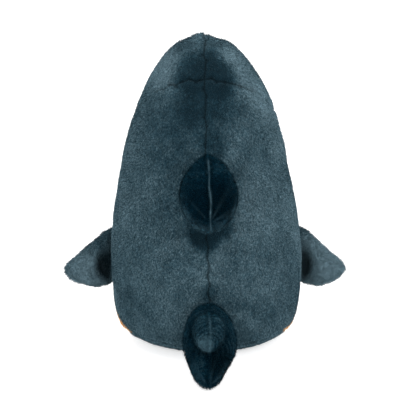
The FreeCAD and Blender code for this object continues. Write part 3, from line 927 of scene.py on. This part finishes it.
def grow_pile(piece, material, pile, flow, seed, body, bare=()):
    """Hair over a piece. Each fibre leans along flow, the direction of the nap. Bare lists (centre, radius)
    of places with embroidery."""
    density, length = pile
    mesh = piece.data
    mesh.calc_loop_triangles()
    corners = read(mesh.loop_triangles, "vertices", 3, np.int32)
    points, normals = points_of(mesh), normals_of(mesh)
    seam, ridge = (read(mesh.attributes[key].data, "value", 1, np.float32) for key in ("seam", "ridge"))
    a, b, c = (points[corners[:, i]] for i in range(3))
    area = lengths(np.cross(b - a, c - a)) / 2
    draw = np.random.default_rng(seed)
    share = 1.0
    count = int(area.sum() * density * share)
    chosen = draw.choice(len(area), count, p=area / area.sum())
    u, v = draw.random((2, count))
    fold = u + v > 1
    u[fold], v[fold] = 1 - u[fold], 1 - v[fold]
    weights = np.stack([1 - u - v, u, v], -1)
    used = corners[chosen]
    roots = (points[used] * weights[:, :, None]).sum(1)
    normal = unit((normals[used] * weights[:, :, None]).sum(1))
    # The painted shade and painted highlight under each fibre: they thin and shorten the pile, and its
    # material paints them.
    dark = (seam[used] * weights).sum(1)
    painted_highlight_share = (ridge[used] * weights).sum(1)
    keep = (roots[:, 2] > 0.4 * MM) & (draw.random(count) > 0.65 * dark)
    for centre, reach in bare:
        keep &= lengths(roots - np.asarray(centre)) > reach
    roots, normal, dark, painted_highlight_share = roots[keep], normal[keep], dark[keep], painted_highlight_share[keep]
    lean = flow - normal * (flow * normal).sum(1)[:, None]
    lean /= np.maximum(lengths(lean)[:, None], 1e-6)
    swirl = np.stack([waves(roots, 16 * MM, seed + k) for k in range(3)], -1) * 0.35
    tufts = np.stack([waves(roots, 2.6 * MM, seed + 3 + k) for k in range(3)], -1) * 0.40
    scatter = draw.normal(size=roots.shape) * 0.22
    lean = lean + swirl + tufts + scatter
    rise = 0.72 + 0.25 * waves(roots, 9 * MM, seed + 7)
    height = length * draw.uniform(0.7, 1.15, len(roots)) * (1 - 0.4 * dark) * (1 - 0.5 * painted_highlight_share)
    steps = np.array([0.0, 0.35, 0.7, 1.0])
    direction = unit(normal * rise[:, None] + lean * FIBRE_LIE * 0.5)
    bend = lean * FIBRE_LIE * 0.55
    way = direction[:, None, :] * steps[None, :, None] + bend[:, None, :] * (steps**2)[None, :, None]
    fibres = roots[:, None, :] - normal[:, None, :] * 0.2 * MM + way * height[:, None, None]
    fibres[:, :, 2] = np.maximum(fibres[:, :, 2], 0.15 * MM)
    curves = bpy.data.hair_curves.new(piece.name + "_pile")
    curves.add_curves([len(steps)] * len(roots))
    curves.attributes["position"].data.foreach_set("vector", fibres.astype(np.float32).ravel())
    thick = np.tile(FIBRE_RADIUS * np.array([1.0, 0.85, 0.6, 0.2]), len(roots))
    for key, kind, values in (("radius", "POINT", thick), ("seam", "CURVE", dark), ("ridge", "CURVE", painted_highlight_share)):
        curves.attributes.new(key, "FLOAT", kind).data.foreach_set("value", values.astype(np.float32))
    curves.materials.append(material)
    made = link(bpy.data.objects.new(piece.name + "_pile", curves))
    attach(made, body)


# ---- trims


STITCH = 0.75 * MM
STITCH_PITCH = 0.55 * MM


def stitch_field(name, hits, width, material, node):
    """Satin stitches: one short thread from each start to each end, bowed up from the skin."""
    points, faces = [], []
    sides, steps = 6, 7
    for start, end, normal, rise in hits:
        run = end - start
        across = unit(np.cross(run, normal))
        base = len(points)
        for step in range(steps):
            share = step / (steps - 1)
            bow = math.sin(math.pi * share) ** 0.5 if 0 < share < 1 else 0
            centre = start + run * share + normal * rise * bow
            for side in range(sides):
                angle = TAU * side / sides
                points.append(centre + (across * math.cos(angle) + normal * math.sin(angle)) * width / 2)
        for step in range(steps - 1):
            for side in range(sides):
                first = base + step * sides + side
                second = base + step * sides + (side + 1) % sides
                faces.append((first, second, second + sides, first + sides))
        faces.append(tuple(base + side for side in reversed(range(sides))))
        last = base + (steps - 1) * sides
        faces.append(tuple(last + side for side in range(sides)))
    made = make_object(name, points, faces)
    made.data.materials.append(material)
    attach(made, "body")
    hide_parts(node)


class Skin:
    """The finished body's surface, to lay trims on."""

    def __init__(self, mesh):
        mesh.calc_loop_triangles()
        corners = [tuple(t.vertices) for t in mesh.loop_triangles]
        self.tree = BVHTree.FromPolygons(points_of(mesh).tolist(), corners)

    def under(self, point, towards):
        """Where a ray from outside meets the skin, and the outward normal there."""
        start = Vector(point) - Vector(towards) * 0.1
        place, normal, _, _ = self.tree.ray_cast(start, Vector(towards))
        return np.array(place), np.array(normal)


def oval_stitches(skin, centre, inward, width, height, pitch, rise):
    """Rows of thread across an upright oval on the skin, seen along inward."""
    inward = unit(np.asarray(inward, float))
    across = unit(np.cross(inward, (0, 0, 1)))
    up = np.cross(across, inward)
    hits = []
    for row in range(int(height / pitch)):
        level = -height / 2 + (row + 0.5) * pitch
        half = width / 2 * math.sqrt(max(0.0, 1 - (2 * level / height) ** 2))
        if half < 0.8 * pitch:
            continue
        ends = []
        for sign in (-1, 1):
            place, normal = skin.under(centre + across * half * sign + up * level, inward)
            ends.append(place + normal * 0.5 * MM)
        _, normal = skin.under(centre + up * level, inward)
        hits.append((ends[0], ends[1], normal, rise))
    return hits


def trims(skin, dark, white, satin):
    """Eyes, mouth, gill stitches and the blank label. Gives the places that the pile keeps clear of."""
    bare = []
    glints = []
    for word, _ in SIDES:
        low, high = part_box(f"eye_{word}")
        centre = np.array((low + high) / 2)
        _, normal = skin.under(centre, -outward(centre))
        hits = oval_stitches(skin, centre, -normal, 15 * MM, 20 * MM, STITCH_PITCH, 1.6 * MM)
        stitch_field(f"eye_{word}_stitches", hits, STITCH, dark, f"eye_{word}")
        spot = centre + np.array([2.2 * MM, 0, 4.2 * MM])
        glints += [
            (a + n * 1.5 * MM, b + n * 1.5 * MM, n, r)
            for a, b, n, r in oval_stitches(skin, spot, -normal, 4.6 * MM, 5 * MM, 0.5 * MM, 1.0 * MM)
        ]
        bare += [(centre + np.array([0, 0, k * 3.5 * MM]), 8.0 * MM) for k in (-1, 0, 1)]
    stitch_field("eye_highlight_stitches", glints, 0.6 * MM, white, "eye_highlights")
    for word, side in SIDES:
        low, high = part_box(f"gill_stitches_{word}")
        hits = []
        for number in range(3):
            y = low.y + 1.8 * MM + number * (high.y - low.y - 3.6 * MM) / 2
            centre = np.array([side * 90 * MM, y, (low.z + high.z) / 2])
            hits += oval_stitches(skin, centre, (-side, 0.35, 0), 3.2 * MM, 26 * MM, STITCH_PITCH, 0.8 * MM)
        bare += [(hit[0], 2.2 * MM) for hit in hits[::4]]
        stitch_field(f"gill_{word}_stitches", hits, STITCH, dark, f"gill_stitches_{word}")
    bare += mouth(skin, dark)
    label(skin, satin)
    return bare


def outward(point):
    """Roughly the outward direction of the body at a place."""
    x, y = middle_of(np.array(point[2]))
    return unit(np.array([point[0] - x, point[1] - y, 0.0]))


def mouth(skin, dark):
    """A smile of satin stitch: an arc seen from the front."""
    low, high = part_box("mouth_stitching")
    half = (high.x - low.x) / 2
    bend = 30 * MM
    reach = math.asin(half / bend)
    level = low.z + bend
    hits = []
    for angle in np.arange(-reach, reach, STITCH_PITCH / bend):
        ends = []
        for grow in (-1.3 * MM, 1.3 * MM):
            radius = bend + grow
            spot = np.array([radius * math.sin(angle), -0.1, level - radius * math.cos(angle)])
            place, normal = skin.under(spot, (0, 1, 0))
            ends.append(place + normal * 0.4 * MM)
        hits.append((ends[0], ends[1], normal, 0.8 * MM))
    stitch_field("mouth_smile_stitches", hits, STITCH, dark, "mouth_stitching")
    return [(hit[0], 2.4 * MM) for hit in hits[::3]]


def label(skin, satin):
    """A blank ribbon folded double out of the base seam, with a soft curl."""
    low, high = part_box("care_label")
    centre = np.array((low + high) / 2)
    out = outward(centre)
    across = np.cross(out, (0, 0, 1))
    root, _ = skin.under([centre[0], centre[1], BASE_SEAM + 0.5 * MM], -out)
    root = root - out * 1.5 * MM
    width, drop, gap = 22 * MM, 15.5 * MM, 0.7 * MM
    shares = [step / 12 for step in range(13)]
    line = [(drop * share, gap * (1 - 0.4 * share) - 5 * MM * share**2) for share in shares]
    tip = line[-1]
    bend = 0.42 * MM
    turn = [(tip[0] + 0.6 * MM * math.sin(a), tip[1] - bend + bend * math.cos(a)) for a in (0.8, 1.6, 2.4)]
    line += turn + [(x, y - 2 * gap * (1 - 0.4 * x / drop)) for x, y in reversed(line)]
    points, faces = [], []
    columns = 9
    for reach, rise in line:
        for column in range(columns):
            place = column / (columns - 1) - 0.5
            wave = 0.7 * MM * math.sin(TAU * place * 0.8 + 0.6) * reach / drop
            points.append(root + out * reach + across * width * place + np.array([0, 0, rise + wave]))
    for row in range(len(line) - 1):
        for column in range(columns - 1):
            first = row * columns + column
            faces.append((first, first + 1, first + 1 + columns, first + columns))
    made = make_object("label_ribbon", points, faces)
    modify(made, "SOLIDIFY", thickness=0.35 * MM, offset=0)
    made.data.materials.append(satin)
    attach(made, "body")
    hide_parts("care_label")


# ---- setting


# Name, place, size and power of each lamp.
LIGHTS = (("key", (-1.4, 1.2, 1.2), 1.0, 24), ("fill", (1.4, 1.2, 0.9), 1.2, 17),
          ("top", (0, 0.1, 1.6), 1.6, 9), ("front", (0.3, -1.6, 0.9), 1.4, 12))
LIGHTS_AIM = Vector((0, 0, 0.14))


def stage():
    """A plain pale floor that glows faintly, and soft studio light."""
    size = 6.0
    graph = Graph("floor_paper")
    tone = graph.mix(graph.noise(3.0), (0.72, 0.72, 0.72), (0.74, 0.74, 0.74))
    paper = graph.finish({"Base Color": tone, "Roughness": 0.9, "Emission Color": (1, 1, 1),
                          "Emission Strength": 0.6})
    corners = [(-size, -size, 0), (size, -size, 0), (size, size, 0), (-size, size, 0)]
    floor = make_object("floor", corners, [(0, 1, 2, 3)])
    floor.data.materials.append(paper)
    world = bpy.data.worlds.new("studio")
    world.use_nodes = True
    backdrop = world.node_tree.nodes["Background"]
    backdrop.inputs["Color"].default_value = (1, 1, 1, 1)
    backdrop.inputs["Strength"].default_value = 1.0
    bpy.context.scene.world = world
    for name, place, width, power in LIGHTS:
        light = bpy.data.lights.new(name, "AREA")
        light.size = width
        light.energy = power
        made = link(bpy.data.objects.new(name, light))
        made.location = place
        made.rotation_euler = (LIGHTS_AIM - Vector(place)).to_track_quat("-Z", "Y").to_euler()


def camera():
    """Behind the shark, a little above it and a touch to its left."""
    view = bpy.data.cameras.new("camera")
    view.sensor_width = 36
    view.lens = CAMERA_LENS
    made = link(bpy.data.objects.new("camera", view))
    flat = math.cos(CAMERA_RISE)
    away = Vector((math.sin(CAMERA_TURN) * flat, math.cos(CAMERA_TURN) * flat, math.sin(CAMERA_RISE)))
    made.location = Vector(CAMERA_TARGET) + away * CAMERA_REACH
    made.rotation_euler = (-away).to_track_quat("-Z", "Y").to_euler()
    bpy.context.scene.camera = made


# ---- assembly


def dress(piece, plushes, slot, nodes):
    """Gives a stuffed piece its cloth, and hides the CAD nodes that it stands for."""
    piece.data.materials.clear()
    piece.data.materials.append(plushes[slot][0])
    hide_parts(*nodes)


def build_body(plushes):
    """The body's pieces by their names, and its whole skin."""
    body = body_form()
    skin = Skin(body.data)
    pieces = part_panels(body, {panel: name for panel, (name, _, _) in BODY_PIECES.items()})
    for name, slot, nodes in BODY_PIECES.values():
        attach(pieces[name], "body")
        dress(pieces[name], plushes, slot, nodes)
    return pieces, skin


def build_fin(halves, joint, child, plushes, slot, reach):
    """Dresses a fin's halves and bakes their placement into their meshes."""
    root, axes = fin_frame(joint)
    for number, (name, piece) in enumerate(halves.items()):
        *stem, word, _ = name.split("_")
        nodes = ["_".join([*stem, "cover", word])] + [f"{child}_stuffing"] * (number == 0)
        dress(piece, plushes, slot, nodes)
        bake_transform(piece)


def main():
    plushes = {name: (plush(name, **look), plush(name, hair=True, **look)) for name, look in LOOKS.items()}
    dark = thread("dark_thread", (0.003, 0.004, 0.006), (0.010, 0.012, 0.016))
    white = thread("white_thread", (0.72, 0.72, 0.72), (0.88, 0.88, 0.88))

    pieces, skin = build_body(plushes)
    bare = trims(skin, dark, white, ribbon_material())
    for number, (name, slot, _) in enumerate(BODY_PIECES.values()):
        grow_pile(pieces[name], plushes[slot][1], BODY_PILE, DOWN, 100 + 10 * number, "body", bare)

    fins = [("dorsal_fin", dorsal_fin(), "dorsal_fin_lean", "navy_plush", 8 * MM),
            ("tail", tail(), "tail_swing", "navy_plush", 9 * MM)]
    for word, side in SIDES:
        halves = pectoral_fin(word, side)
        fins.append((f"pectoral_fin_{word}", halves, f"pectoral_{word}_flap", "slate_plush", 8 * MM))
    for order, (child, halves, joint, slot, reach) in enumerate(fins):
        build_fin(halves, joint, child, plushes, slot, reach)
        _, axes = fin_frame(joint)
        to_tip = axes[2] + 0.5 * axes[0]
        for number, piece in enumerate(halves.values()):
            grow_pile(piece, plushes[slot][1], FIN_PILE, to_tip, 300 + 40 * order + 10 * number, child)

    stage()
    camera()
    bpy.context.scene.view_settings.view_transform = "Standard"


main()
